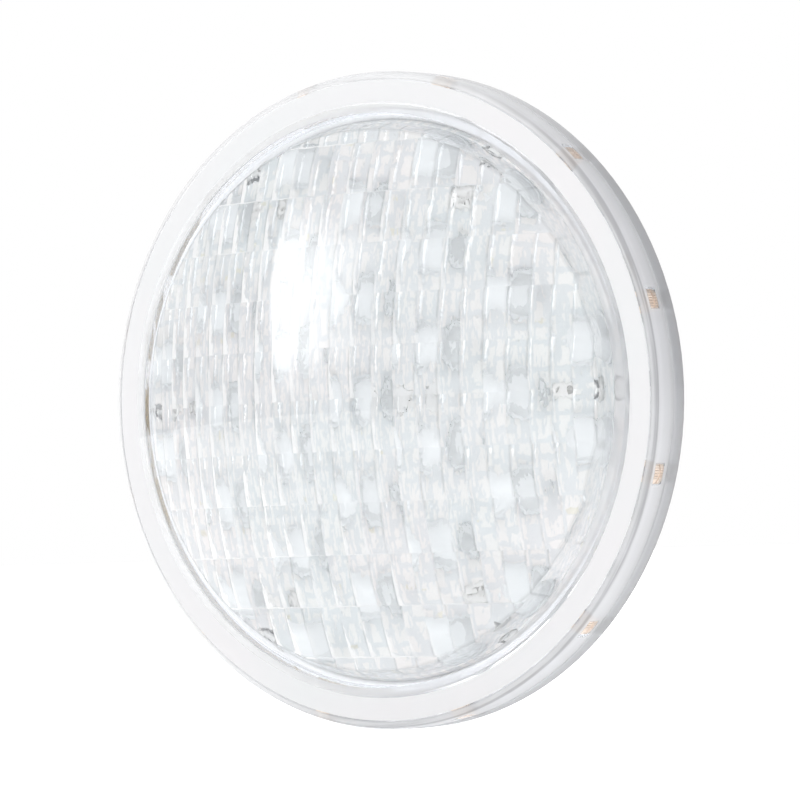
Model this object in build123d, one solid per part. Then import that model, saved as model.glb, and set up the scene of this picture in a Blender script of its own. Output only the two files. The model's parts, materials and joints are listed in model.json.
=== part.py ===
from build123d import *
import math
import os

# Underwater pool light: a sealed round lamp of the 178 mm reflector-lamp size, with a white LED engine
# inside.
#
# A clear front lens and a clear rear housing are screwed together through their rims, with a silicone
# ring between them. Twelve screws from behind run into knurled brass inserts in the lens rim. Inside, an
# aluminium heat sink on a shelf of the housing carries the LED board in front and the driver board
# behind. Two brass terminals pass through the back wall.
#
# Frame: millimetres, +Z up, lamp axis along Y with the lens towards -Y. The origin is the centre of the
# rim in the plane of its rear seating face. Every Y value below is a station along the lamp axis, and
# "from" stations are the front ones.

# ---- rim and joint between the two shells ----
RIM_RADIUS = 89.0
LENS_RIM_RADIUS = 88.8
FACE_Y = -13.0  # flat front face of the rim
PARTING_Y = -5.4  # where the lens rim meets the housing rim
SEAT_Y = 0.0  # rear face of the rim, which rests in a niche ring
RIM_EDGE_ROUND = 1.5
RIM_CHAMFER = 0.5
SCREW_COUNT = 12
SCREW_CIRCLE = 84.6
FIRST_SCREW_ANGLE = 15.0

# ---- lens dome ----
STEP_RADIUS = 80.3  # foot of the raised bead that carries the dome
DOME_RADIUS = 77.3
STEP_HEIGHT = 2.8
DOME_HEIGHT = 20.5
LENS_BORE_RADIUS = 72.5
LENS_WALL = 3.6  # wall at the edges between flutes
FLUTE_DEPTH = 1.3  # of a middle column; the narrower ones are shallower in proportion
COLUMN_PITCH = 6.5  # in the middle of the lens
COLUMNS = 26
COLUMN_FAN = 105.0  # the columns are evenly spaced in angle about an axis this far behind them
ROW_PITCH = 13.7
ROWS = 12
ROW_LEAN = 0.7  # how much of the dome's slope each row of flutes follows
CORE_BACK_Y = 25.0  # the fluted core is cut off square here, behind the lens
SEAM_TURN = 7.0  # degrees; keeps the bore's own seam off the boundary between two rows
DOME_BASE_Y = FACE_Y - STEP_HEIGHT
DOME_SPHERE = (DOME_RADIUS**2 + DOME_HEIGHT**2) / (2 * DOME_HEIGHT)
DOME_CENTRE_Y = DOME_BASE_Y - DOME_HEIGHT + DOME_SPHERE
FLUTE_SPHERE = DOME_SPHERE - LENS_WALL

# ---- rear housing ----
CAVITY_RADIUS = 74.5
BOWL_SPHERE = 80.4
BOWL_CENTRE_Y = -14.9
BOWL_WALL = 3.0
BACK_Y = 57.0
SHELF_Y = 1.0
SHELF_THICKNESS = 3.0
SHELF_INNER_RADIUS = 67.0
BOSS_LENGTH = 62.0
BOSS_WIDTH = 26.0
BOSS_Y = 63.0
BOSS_WALL = 4.0
POCKET_LENGTH = 54.0
POCKET_WIDTH = 18.0

# ---- seals, inserts and rim screws ----
GROOVE_INNER = 76.5
GROOVE_OUTER = 79.7
GROOVE_DEPTH = 2.0
SEAL_GAP = 0.02
INSERT_RADIUS = 2.9
INSERT_LENGTH = 4.2
INSERT_RECESS = 0.2  # how far the insert sits below the parting face
KNURL_TEETH = 24
KNURL_DEPTH = 0.3
M3_RADIUS = 1.5
M3_HOLE = 1.53
M3_CLEARANCE_HOLE = 1.7
RIM_HEAD_RADIUS = 2.75
RIM_HEAD_HEIGHT = 2.4
COUNTERBORE_RADIUS = 3.1
COUNTERBORE_DEPTH = 2.9
RIM_SCREW_LENGTH = 6.0

# ---- LED engine ----
SINK_RADIUS = 73.6
SINK_THICKNESS = 3.0
SINK_FRONT_Y = SHELF_Y - SINK_THICKNESS
FINS = 16
FIN_HEIGHT = 8.0
FIN_THICKNESS = 1.8
FIN_INNER = 20.0
FIN_OUTER = 62.0
SINK_SCREWS = 6
SINK_SCREW_CIRCLE = 70.0
SINK_SCREW_LENGTH = 8.0
BOSS_POST_RADIUS = 3.4
BOSS_POST_END_Y = 9.0
PAD_THICKNESS = 0.5
BOARD_THICKNESS = 1.6
LED_BOARD_RADIUS = 72.0
SCREW_NOTCH_RADIUS = 3.4  # clears the heat sink screws' heads
PAD_Y = SINK_FRONT_Y - PAD_THICKNESS
LED_BOARD_Y = PAD_Y - BOARD_THICKNESS
LED_SIZE = 5.0
LED_HEIGHT = 0.8
PHOSPHOR_RADIUS = 2.1
PHOSPHOR_HEIGHT = 0.3
LED_PITCH = 24.5  # the LEDs stand on a honeycomb grid
LED_FIELD_RADIUS = 65.0
OPTIC_FLANGE = 6.5
OPTIC_FOOT = 5.8
OPTIC_SHOULDER = 5.2
OPTIC_HEIGHT = 7.5
OPTIC_SHOULDER_HEIGHT = 5.5
OPTIC_HOLLOW = 3.9
OPTIC_HOLLOW_HEIGHT = 2.2
BOARD_SCREWS = 6
BOARD_SCREW_CIRCLE = LED_PITCH * 4 / math.sqrt(3)  # in the gaps of the LED grid
BOARD_SCREW_LENGTH = 5.0
PAN_HEAD_RADIUS = 2.8
PAN_HEAD_HEIGHT = 2.0

# ---- driver ----
DRIVER_RADIUS = 34.0
DRIVER_Y = 28.0
DRIVER_REAR_Y = DRIVER_Y + BOARD_THICKNESS
STANDOFF_CIRCLE = 28.0
STANDOFF_ACROSS_FLATS = 5.5
DRIVER_SCREW_LENGTH = 6.0
CAN_RADIUS = 5.0
CAN_HEIGHT = 16.0
CAN_PLACES = ((24.0, -4.2), (24.0, 7.0))
CHOKE_X = -19.0
CHOKE_OUTER = 9.0
CHOKE_INNER = 4.5
CHOKE_HEIGHT = 8.0
CHOKE_LIFT = 1.6
WINDING_TURNS = 14
WIRE_THICKNESS = 0.9
CONNECTOR_Z = -24.5
CONNECTOR_SIZE = (11.0, 10.0, 8.0)  # X, Y, Z
CONNECTOR_PITCH = 5.0
ENTRY_RADIUS = 1.5
ENTRY_DEPTH = 4.0

# ---- wires ----
LED_LEAD_RADIUS = 0.7
LED_LEAD_SPREAD = 1.5
LEAD_SLACK = 0.05
LED_PAD_SPREAD = 6.8
LEAD_HOLE_X = LED_PITCH / math.sqrt(3)  # in a gap of the LED grid
LEAD_HOLE_IN_BOARD = 4.7
GROMMET_FLANGE = 4.6
GROMMET_FLANGE_THICKNESS = 2.0
GROMMET_FRONT_Y = SINK_FRONT_Y - GROMMET_FLANGE_THICKNESS
GROMMET_BODY = 3.4
SINK_HOLE = 3.45
SUPPLY_LEAD_RADIUS = 1.1

# ---- terminals ----
TERMINAL_X = 18.0
BUSH_RADIUS = 4.0
BUSH_HOLE = 4.05
BUSH_FLANGE_RADIUS = 6.6
BUSH_FLANGE_THICKNESS = 2.4
BUSH_INNER_END_Y = 51.5
TERMINAL_HOLE_RADIUS = 2.05
TERMINAL_HOLE_DEPTH = 11.5
TERMINAL_SEAL_OUTER = 5.6
TERMINAL_SEAL_DEPTH = 1.2
NUT_ACROSS_FLATS = 13.0
NUT_THICKNESS = 4.0
TAG_THICKNESS = 0.8
TAG_RADIUS = 6.2
TAG_TAIL_WIDTH = 3.6
TAG_TAIL_END_X = 7.5
CLAMP_SIDE = 11.0
CLAMP_WIDTH = 15.6
CLAMP_THICKNESS = 1.2
CLAMP_LIP = 1.0
CLAMP_LIP_DEPTH = 1.2
M4_RADIUS = 2.0
TERMINAL_HEAD_RADIUS = 4.0
TERMINAL_HEAD_HEIGHT = 2.6
TERMINAL_SCREW_LENGTH = 9.0
SLOT_WIDTH = 1.2
SLOT_DEPTH = 1.3
FLANGE_OUTER_Y = BOSS_Y + BUSH_FLANGE_THICKNESS

BASE = (Align.CENTER, Align.CENTER, Align.MIN)


def rod(radius, y_from, y_to, x=0.0, z=0.0):
    """A cylinder along Y between two stations."""
    return Pos(x, y_from, z) * Rot(X=-90) * Cylinder(radius, y_to - y_from, align=BASE)


def tube(outer, inner, y_from, y_to, x=0.0, z=0.0):
    """A hollow cylinder along Y."""
    return rod(outer, y_from, y_to, x, z) - rod(inner, y_from, y_to, x, z)


def block(size, centre):
    """A box with X, Y and Z sizes about its centre."""
    return Pos(*centre) * Box(*size)


def hexagon(across_flats, y_from, y_to, x=0.0, z=0.0):
    """A hexagonal bar along Y."""
    outline = RegularPolygon(across_flats / 2, 6, major_radius=False)
    return Pos(x, y_from, z) * Rot(X=-90) * extrude(outline, y_to - y_from)


def on_circle(count, radius, first_angle):
    """Places on a circle about the lamp axis, as (x, z)."""
    for i in range(count):
        angle = math.radians(first_angle + 360.0 * i / count)
        yield radius * math.cos(angle), radius * math.sin(angle)


def group(solids):
    """Separate solids kept side by side in one node."""
    return Compound(children=[s for shape in solids for s in shape.solids()])


def ball(radius, centre_y):
    """A sphere on the lamp axis."""
    return Pos(0, centre_y, 0) * Sphere(radius)


def pan_screw(head_y, length, x, z, facing=-1):
    """An M3 pan head screw. The head's bearing face is at head_y, and facing is the side its head is on."""
    top = head_y + facing * PAN_HEAD_HEIGHT
    head = rod(PAN_HEAD_RADIUS, min(head_y, top), max(head_y, top), x, z)
    rim = head.edges().filter_by(GeomType.CIRCLE).sort_by(Axis.Y)[0 if facing < 0 else -1]
    head = fillet(rim, PAN_HEAD_HEIGHT * 0.5)
    recess = block((3.0, 1.2, 0.7), (x, top, z)) + block((0.7, 1.2, 3.0), (x, top, z))
    tip = head_y - facing * length
    return head - recess + rod(M3_RADIUS, min(head_y, tip), max(head_y, tip), x, z)


# ---- front lens ----
def flute_depth_at(x, z):
    """Station of the cavity's mean surface, a sphere one wall inside the dome."""
    return DOME_CENTRE_Y - math.sqrt(FLUTE_SPHERE**2 - x**2 - z**2)


def flute_profile(z):
    """The scalloped section of the fluted core at height z: one arc per column, its ends on the sphere."""
    corners = []
    for i in range(COLUMNS + 1):
        x = COLUMN_FAN * math.sin((i - COLUMNS / 2) * COLUMN_PITCH / COLUMN_FAN)
        corners.append((x, flute_depth_at(x, z)))
    half = corners[-1][0]
    edges = []
    for left, right in zip(corners, corners[1:]):
        x_mid = (left[0] + right[0]) / 2
        depth = FLUTE_DEPTH * (right[0] - left[0]) / COLUMN_PITCH
        edges.append(ThreePointArc(left, (x_mid, flute_depth_at(x_mid, z) - depth), right))
    back = [corners[-1], (half, CORE_BACK_Y), (-half, CORE_BACK_Y), corners[0]]
    edges += [Line(a, b) for a, b in zip(back, back[1:])]
    return make_face(edges)


def fluted_row(row):
    """One horizontal row of the fluted core. It leans less than the dome, so rows meet in a step."""
    middle = (row + 0.5 - ROWS / 2) * ROW_PITCH
    slope = ROW_LEAN * middle / math.sqrt(FLUTE_SPHERE**2 - middle**2)
    shift = slope * ROW_PITCH / 2
    section = Pos(0, -shift, middle - ROW_PITCH / 2) * flute_profile(middle)
    return extrude(section, ROW_PITCH * math.sqrt(1 + slope**2), dir=(0, slope, 1))


def cap_arc(foot, rise):
    """The arc of a spherical cap, from its foot at (radius, station) forwards to its apex on the axis."""
    radius, station = foot
    sphere = (radius**2 + rise**2) / (2 * rise)
    half_angle = math.asin(radius / sphere) / 2
    middle = (sphere * math.sin(half_angle), station - rise + sphere * (1 - math.cos(half_angle)))
    return ThreePointArc(foot, middle, (0, station - rise))


def lens_shell():
    """Outer form of the lens, still without its cavity: dome, raised bead, flat face and rounded rim."""
    apex = (0, DOME_BASE_Y - DOME_HEIGHT)
    foot = (DOME_RADIUS, DOME_BASE_Y)
    bead = [foot, (STEP_RADIUS - 0.5, FACE_Y - 1.5), (STEP_RADIUS, FACE_Y),
            (LENS_RIM_RADIUS - RIM_EDGE_ROUND, FACE_Y)]
    corner = RIM_EDGE_ROUND * (1 - math.sqrt(0.5))
    round_middle = (LENS_RIM_RADIUS - corner, FACE_Y + corner)
    rim = [(LENS_RIM_RADIUS, FACE_Y + RIM_EDGE_ROUND), (LENS_RIM_RADIUS, PARTING_Y), (0, PARTING_Y), apex]
    edges = [cap_arc(foot, DOME_HEIGHT), ThreePointArc(bead[-1], round_middle, rim[0])]
    edges += [Line(p, q) for line in (bead, rim) for p, q in zip(line, line[1:])]
    return revolve(make_face(edges), Axis.Y)


def front_lens():
    """Clear lens with a smooth outer dome, flutes inside, and blind holes for the rim inserts."""
    bore = Rot(Y=SEAM_TURN) * rod(LENS_BORE_RADIUS, DOME_BASE_Y - DOME_HEIGHT, PARTING_Y + 1)
    lens = lens_shell()
    for row in range(ROWS):
        lens -= fluted_row(row) & bore
    hole_end = PARTING_Y - INSERT_RECESS - INSERT_LENGTH - INSERT_RECESS
    for x, z in on_circle(SCREW_COUNT, SCREW_CIRCLE, FIRST_SCREW_ANGLE):
        lens -= rod(INSERT_RADIUS + SEAL_GAP, hole_end, PARTING_Y, x, z)
    return lens


# ---- rim joint ----
def insert_outline(teeth, outer, depth):
    """A toothed circle for a knurled band."""
    points = []
    for i in range(2 * teeth):
        radius = outer if i % 2 == 0 else outer - depth
        angle = math.pi * i / teeth
        points.append((radius * math.cos(angle), radius * math.sin(angle)))
    return make_face(Polyline(*points, close=True))


def rim_inserts():
    """Twelve knurled brass inserts, each with two knurled bands and a smooth waist."""
    rear = PARTING_Y - INSERT_RECESS
    front = rear - INSERT_LENGTH
    band = INSERT_LENGTH * 0.42
    outline = insert_outline(KNURL_TEETH, INSERT_RADIUS, KNURL_DEPTH)
    knurl = Rot(X=-90) * extrude(outline, band)
    waist = rod(INSERT_RADIUS - 0.6, front, rear)
    body = Pos(0, front, 0) * knurl + waist + Pos(0, rear - band, 0) * knurl
    body -= rod(M3_HOLE, front, rear)
    return group(Pos(x, 0, z) * body for x, z in on_circle(SCREW_COUNT, SCREW_CIRCLE, FIRST_SCREW_ANGLE))


def rim_seal():
    """Silicone ring, shown squeezed to the depth of its groove in the housing rim."""
    centre = Pos((GROOVE_INNER + GROOVE_OUTER) / 2, PARTING_Y + GROOVE_DEPTH / 2)
    section = centre * Ellipse((GROOVE_OUTER - GROOVE_INNER) / 2 - 0.1, GROOVE_DEPTH / 2 - SEAL_GAP)
    return revolve(section, Axis.Y)


def rim_screws():
    """Twelve M3 socket screws, their heads sunk below the seating face."""
    bearing = SEAT_Y - COUNTERBORE_DEPTH
    head = rod(RIM_HEAD_RADIUS, bearing, bearing + RIM_HEAD_HEIGHT)
    head -= hexagon(2.5, bearing + 1.0, bearing + RIM_HEAD_HEIGHT)
    screw = head + rod(M3_RADIUS, bearing - RIM_SCREW_LENGTH, bearing)
    return group(Pos(x, 0, z) * screw for x, z in on_circle(SCREW_COUNT, SCREW_CIRCLE, FIRST_SCREW_ANGLE))


# ---- rear housing ----
def stadium(length, width, y_from, y_to):
    """A bar with round ends, long in X, along Y."""
    return Pos(0, y_from, 0) * Rot(X=-90) * extrude(SlotOverall(length, width), y_to - y_from)


def rear_housing():
    """Clear bowl with its rim, an inner shelf with screw posts for the heat sink, and the terminal boss."""
    rim = rod(RIM_RADIUS, PARTING_Y, SEAT_Y)
    rim = chamfer(rim.edges().filter_by(GeomType.CIRCLE).sort_by(Axis.Y)[0], RIM_CHAMFER)
    slab = rod(RIM_RADIUS, SEAT_Y - 1, BACK_Y)
    bowl = ball(BOWL_SPHERE, BOWL_CENTRE_Y) & slab
    hollow = ball(BOWL_SPHERE - BOWL_WALL, BOWL_CENTRE_Y) & rod(RIM_RADIUS, PARTING_Y, BACK_Y - BOWL_WALL)
    body = rim + bowl + stadium(BOSS_LENGTH, BOSS_WIDTH, BACK_Y - BOWL_WALL, BOSS_Y)
    body -= hollow & rod(RIM_RADIUS, SHELF_Y, BACK_Y)
    body -= rod(CAVITY_RADIUS, PARTING_Y, SHELF_Y)
    body -= stadium(POCKET_LENGTH, POCKET_WIDTH, BACK_Y - BOWL_WALL - 1, BOSS_Y - BOSS_WALL)
    shelf = tube(CAVITY_RADIUS + 3, SHELF_INNER_RADIUS, SHELF_Y, SHELF_Y + SHELF_THICKNESS)
    for x, z in on_circle(SINK_SCREWS, SINK_SCREW_CIRCLE, 0):
        shelf += rod(BOSS_POST_RADIUS, SHELF_Y, BOSS_POST_END_Y, x, z)
    body += shelf & ball(BOWL_SPHERE - BOWL_WALL + 0.5, BOWL_CENTRE_Y)
    for x, z in on_circle(SINK_SCREWS, SINK_SCREW_CIRCLE, 0):
        body -= rod(M3_HOLE, SHELF_Y, SHELF_Y + SINK_SCREW_LENGTH - SINK_THICKNESS + 0.6, x, z)
    body -= tube(GROOVE_OUTER, GROOVE_INNER, PARTING_Y, PARTING_Y + GROOVE_DEPTH)
    for x, z in on_circle(SCREW_COUNT, SCREW_CIRCLE, FIRST_SCREW_ANGLE):
        body -= rod(M3_CLEARANCE_HOLE, PARTING_Y, SEAT_Y, x, z)
        body -= rod(COUNTERBORE_RADIUS, SEAT_Y - COUNTERBORE_DEPTH, SEAT_Y + 3, x, z)
    for x in (-TERMINAL_X, TERMINAL_X):
        body -= rod(BUSH_HOLE, BOSS_Y - BOSS_WALL, BOSS_Y, x)
        body -= rod(TERMINAL_SEAL_OUTER, BOSS_Y - TERMINAL_SEAL_DEPTH, BOSS_Y, x)
    return body


# ---- LED engine ----
def heat_sink():
    """Aluminium plate with radial fins behind, a hole for the LED leads, and tapped holes."""
    sink = rod(SINK_RADIUS, SINK_FRONT_Y, SHELF_Y) - rod(SINK_HOLE, SINK_FRONT_Y, SHELF_Y, LEAD_HOLE_X)
    fin = block((FIN_OUTER - FIN_INNER, FIN_HEIGHT + 0.5, FIN_THICKNESS),
                ((FIN_OUTER + FIN_INNER) / 2, SHELF_Y + FIN_HEIGHT / 2 - 0.25, 0))
    for i in range(FINS):
        sink += Rot(Y=360.0 * (i + 0.5) / FINS) * fin
    for x, z in on_circle(SINK_SCREWS, SINK_SCREW_CIRCLE, 0):
        sink -= rod(M3_CLEARANCE_HOLE, SINK_FRONT_Y, SHELF_Y, x, z)
    for x, z in on_circle(BOARD_SCREWS, BOARD_SCREW_CIRCLE, 0):
        sink -= rod(M3_HOLE, SINK_FRONT_Y, SHELF_Y, x, z)
    return sink


def board_holes(y_from, y_to):
    """The holes shared by the thermal pad and the LED board."""
    holes = rod(LEAD_HOLE_IN_BOARD, y_from, y_to, LEAD_HOLE_X)
    for x, z in on_circle(BOARD_SCREWS, BOARD_SCREW_CIRCLE, 0):
        holes += rod(M3_CLEARANCE_HOLE, y_from, y_to, x, z)
    for x, z in on_circle(SINK_SCREWS, SINK_SCREW_CIRCLE, 0):
        holes += rod(SCREW_NOTCH_RADIUS, y_from, y_to, x, z)
    return holes


def thermal_pad():
    """Soft grey pad between the LED board and the heat sink."""
    return rod(LED_BOARD_RADIUS - 1, PAD_Y, SINK_FRONT_Y) - board_holes(PAD_Y, SINK_FRONT_Y)


def led_board():
    """White metal-core board."""
    return rod(LED_BOARD_RADIUS, LED_BOARD_Y, PAD_Y) - board_holes(LED_BOARD_Y, PAD_Y)


def led_places():
    """Places of the LEDs: the points of a honeycomb grid inside the field's radius."""
    reach = int(LED_FIELD_RADIUS / LED_PITCH) + 2
    for column in range(-reach, reach + 1):
        x = column * LED_PITCH * math.sqrt(3) / 2
        for row in range(-reach, reach + 1):
            z = (row + 0.5 * (column % 2)) * LED_PITCH
            if math.hypot(x, z) < LED_FIELD_RADIUS:
                yield x, z


def led_packages():
    """Square white LED packages."""
    package = block((LED_SIZE, LED_HEIGHT, LED_SIZE), (0, LED_BOARD_Y - LED_HEIGHT / 2, 0))
    package = chamfer(package.edges().filter_by(Axis.Y), 0.4)
    return group(Pos(x, 0, z) * package for x, z in led_places())


def led_phosphors():
    """The pale emitting disc on each LED package."""
    top = LED_BOARD_Y - LED_HEIGHT
    return group(rod(PHOSPHOR_RADIUS, top - PHOSPHOR_HEIGHT, top, x, z) for x, z in led_places())


def led_optics():
    """A clear domed cap over each LED, hollow underneath."""
    board = LED_BOARD_Y
    shoulder = (OPTIC_SHOULDER, board - OPTIC_SHOULDER_HEIGHT)
    apex = (0, board - OPTIC_HEIGHT)
    hollow_top = board - OPTIC_HOLLOW_HEIGHT
    walls = [apex, (0, hollow_top), (OPTIC_HOLLOW, hollow_top), (OPTIC_HOLLOW, board), (OPTIC_FLANGE, board),
             (OPTIC_FLANGE, board - 1.2), (OPTIC_FOOT, board - 1.6), shoulder]
    edges = [Line(p, q) for p, q in zip(walls, walls[1:])]
    edges.append(cap_arc(shoulder, OPTIC_HEIGHT - OPTIC_SHOULDER_HEIGHT))
    optic = revolve(make_face(edges), Axis.Y)
    return group(Pos(x, 0, z) * optic for x, z in led_places())


def sink_screws():
    """Screws that hold the heat sink on the housing's posts."""
    places = on_circle(SINK_SCREWS, SINK_SCREW_CIRCLE, 0)
    return group(pan_screw(SINK_FRONT_Y, SINK_SCREW_LENGTH, x, z) for x, z in places)


def board_screws():
    """Screws that hold the LED board on the heat sink."""
    places = on_circle(BOARD_SCREWS, BOARD_SCREW_CIRCLE, 0)
    return group(pan_screw(LED_BOARD_Y, BOARD_SCREW_LENGTH, x, z) for x, z in places)


# ---- driver ----
def standoffs():
    """Four hexagonal pillars from the heat sink to the driver board."""
    for_each = []
    for x, z in on_circle(4, STANDOFF_CIRCLE, 45):
        bar = hexagon(STANDOFF_ACROSS_FLATS, SHELF_Y, DRIVER_Y, x, z)
        for_each.append(bar - rod(M3_HOLE, DRIVER_Y - DRIVER_SCREW_LENGTH, DRIVER_Y, x, z))
    return group(for_each)


def driver_board():
    """Round circuit board behind the heat sink."""
    board = rod(DRIVER_RADIUS, DRIVER_Y, DRIVER_REAR_Y)
    for x, z in on_circle(4, STANDOFF_CIRCLE, 45):
        board -= rod(M3_CLEARANCE_HOLE, DRIVER_Y, DRIVER_REAR_Y, x, z)
    return board


def driver_screws():
    """Screws that hold the driver board on its standoffs."""
    places = on_circle(4, STANDOFF_CIRCLE, 45)
    return group(pan_screw(DRIVER_REAR_Y, DRIVER_SCREW_LENGTH, x, z, facing=1) for x, z in places)


def capacitors():
    """Two aluminium can capacitors with a beaded foot and a scored vent."""
    cans = []
    for x, z in CAN_PLACES:
        can = rod(CAN_RADIUS, DRIVER_REAR_Y, DRIVER_REAR_Y + CAN_HEIGHT, x, z)
        can -= tube(CAN_RADIUS + 1, CAN_RADIUS - 0.5, DRIVER_REAR_Y + 1.6, DRIVER_REAR_Y + 2.6, x, z)
        can -= block((6.0, 0.6, 0.4), (x, DRIVER_REAR_Y + CAN_HEIGHT, z))
        can -= block((0.4, 0.6, 6.0), (x, DRIVER_REAR_Y + CAN_HEIGHT, z))
        cans.append(can)
    return group(cans)


def choke_core():
    """Ferrite ring of the choke, lying flat above the board."""
    start = DRIVER_REAR_Y + CHOKE_LIFT
    return tube(CHOKE_OUTER, CHOKE_INNER, start, start + CHOKE_HEIGHT, CHOKE_X)


def choke_winding():
    """Enamelled copper turns around the choke core, one closed loop per turn."""
    gap = 0.05
    radial = CHOKE_OUTER - CHOKE_INNER + 2 * gap
    middle = (CHOKE_OUTER + CHOKE_INNER) / 2
    height = CHOKE_HEIGHT + 2 * gap + 0.3
    centre = (middle, DRIVER_REAR_Y + CHOKE_LIFT + CHOKE_HEIGHT / 2, 0)
    outer = block((radial + 0.3 + 2 * WIRE_THICKNESS, height + 2 * WIRE_THICKNESS, WIRE_THICKNESS), centre)
    outer = fillet(outer.edges().filter_by(Axis.Z), WIRE_THICKNESS)
    turn = outer - block((radial + 0.3, height, WIRE_THICKNESS), centre)
    step = 360.0 / (WINDING_TURNS + 2)
    return group(Pos(CHOKE_X, 0, 0) * Rot(Y=step * (i + 0.5)) * turn for i in range(WINDING_TURNS))


def rectifier():
    """Bridge rectifier block with one bevelled corner."""
    body = block((12.0, 9.0, 4.5), (0, DRIVER_REAR_Y + 4.5, -12.5))
    corner = body.edges().filter_by(Axis.Z).sort_by(Axis.Y)[-1]
    return chamfer(corner, 2.0)


def driver_chips():
    """Controller chip, switching transistor and current-sense resistor."""
    sizes = ((6.2, 1.7, 5.0, 2.0, 9.0), (6.6, 2.3, 6.0, -3.0, 1.0), (6.4, 0.8, 3.2, 11.0, 3.0))
    return group(block((w, h, d), (x, DRIVER_REAR_Y + h / 2, z)) for w, h, d, x, z in sizes)


def film_capacitor():
    """Boxed film capacitor."""
    box = block((13.0, 11.0, 6.0), (1.0, DRIVER_REAR_Y + 5.5, 21.0))
    return fillet(box.edges().filter_by(Axis.Y), 0.8)


def input_connector():
    """Two-way terminal block. The wires enter from behind, and its clamp screws face down."""
    width, height, depth = CONNECTOR_SIZE
    body = block(CONNECTOR_SIZE, (0, DRIVER_REAR_Y + height / 2, CONNECTOR_Z))
    top = DRIVER_REAR_Y + height
    for x in (-CONNECTOR_PITCH / 2, CONNECTOR_PITCH / 2):
        body -= rod(ENTRY_RADIUS, top - ENTRY_DEPTH, top, x, CONNECTOR_Z)
        body -= Pos(x, DRIVER_REAR_Y + 6.0, CONNECTOR_Z - depth / 2) * Cylinder(1.6, 2.4)
    return body


def connector_screws():
    """Clamp screws of the input connector."""
    depth = CONNECTOR_SIZE[2]
    screws = []
    for x in (-CONNECTOR_PITCH / 2, CONNECTOR_PITCH / 2):
        screw = Pos(x, DRIVER_REAR_Y + 6.0, CONNECTOR_Z - depth / 2 + 0.7) * Cylinder(1.5, 0.9)
        screws.append(screw - block((3.2, 0.5, 0.8), (x, DRIVER_REAR_Y + 6.0, CONNECTOR_Z - depth / 2 + 0.3)))
    return group(screws)


# ---- wires ----
def wire(radius, points, start_direction, end_direction):
    """A round wire along a smooth curve through the points."""
    path = Spline(*points, tangents=(start_direction, end_direction))
    section = Plane(origin=path @ 0, z_dir=path % 0) * Circle(radius)
    return sweep(section, path=path)


def led_lead(side):
    """One lead from the driver through the grommet to its pad on the LED board; side is -1 or 1."""
    x = LEAD_HOLE_X + side * LED_LEAD_SPREAD
    turn = (LEAD_HOLE_X + side * 3.6, LED_BOARD_Y - 2.6, 0)
    straight = rod(LED_LEAD_RADIUS, GROMMET_FRONT_Y, DRIVER_Y, x)
    end = (LEAD_HOLE_X + side * LED_PAD_SPREAD, LED_BOARD_Y - LED_LEAD_RADIUS - 0.25, 0)
    bend = wire(LED_LEAD_RADIUS, [(x, GROMMET_FRONT_Y, 0), turn, end], (0, -1, 0), (side, 0.25, 0))
    return straight + bend


def lead_grommet():
    """Silicone grommet that carries both LED leads through the heat sink."""
    rear = SHELF_Y + GROMMET_FLANGE_THICKNESS
    grommet = rod(GROMMET_BODY, GROMMET_FRONT_Y, rear, LEAD_HOLE_X)
    grommet += rod(GROMMET_FLANGE, GROMMET_FRONT_Y, SINK_FRONT_Y, LEAD_HOLE_X)
    grommet += rod(GROMMET_FLANGE, SHELF_Y, rear, LEAD_HOLE_X)
    for side in (-1, 1):
        x = LEAD_HOLE_X + side * LED_LEAD_SPREAD
        grommet -= rod(LED_LEAD_RADIUS + LEAD_SLACK, GROMMET_FRONT_Y, rear, x)
    return grommet


def supply_leads():
    """The two leads from the solder tags to the input connector."""
    leads = []
    for side in (-1, 1):
        start = (side * (TAG_TAIL_END_X + 1.5), BOSS_Y - BOSS_WALL - TAG_THICKNESS - 0.05, 0)
        entry_y = DRIVER_REAR_Y + CONNECTOR_SIZE[1] - ENTRY_DEPTH + 0.5
        entry = (side * CONNECTOR_PITCH / 2, entry_y, CONNECTOR_Z)
        middle = (side * 6.0, 50.0, -9.0)
        above = (entry[0], entry_y + ENTRY_DEPTH, CONNECTOR_Z)
        leads.append(wire(SUPPLY_LEAD_RADIUS, [start, middle, above, entry], (0, -1, 0), (0, -1, 0)))
    return group(leads)


# ---- terminals ----
def terminal_bushes():
    """Brass terminal bushes: an outer flange, a shank through the back wall and a tapped hole."""
    bushes = []
    for x in (-TERMINAL_X, TERMINAL_X):
        bush = rod(BUSH_RADIUS, BUSH_INNER_END_Y, FLANGE_OUTER_Y, x)
        bush += rod(BUSH_FLANGE_RADIUS, BOSS_Y, FLANGE_OUTER_Y, x)
        hole = rod(TERMINAL_HOLE_RADIUS, FLANGE_OUTER_Y - TERMINAL_HOLE_DEPTH, FLANGE_OUTER_Y, x)
        bushes.append(bush - hole)
    return group(bushes)


def terminal_seals():
    """Rubber rings under the terminal flanges."""
    low = BOSS_Y - TERMINAL_SEAL_DEPTH + SEAL_GAP
    high = BOSS_Y - SEAL_GAP
    places = (-TERMINAL_X, TERMINAL_X)
    return group(tube(TERMINAL_SEAL_OUTER - 0.05, BUSH_HOLE, low, high, x) for x in places)


def solder_tags():
    """Tinned ring tags between the back wall and the terminal nuts, their tails towards the middle."""
    tags = []
    high = BOSS_Y - BOSS_WALL
    for side in (-1, 1):
        tag = rod(TAG_RADIUS, high - TAG_THICKNESS, high, side * TERMINAL_X)
        tail_length = TERMINAL_X - TAG_TAIL_END_X
        tail_x = side * (TERMINAL_X + TAG_TAIL_END_X) / 2
        tag += block((tail_length, TAG_THICKNESS, TAG_TAIL_WIDTH), (tail_x, high - TAG_THICKNESS / 2, 0))
        tags.append(tag - rod(BUSH_HOLE, high - TAG_THICKNESS, high, side * TERMINAL_X))
    return group(tags)


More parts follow.
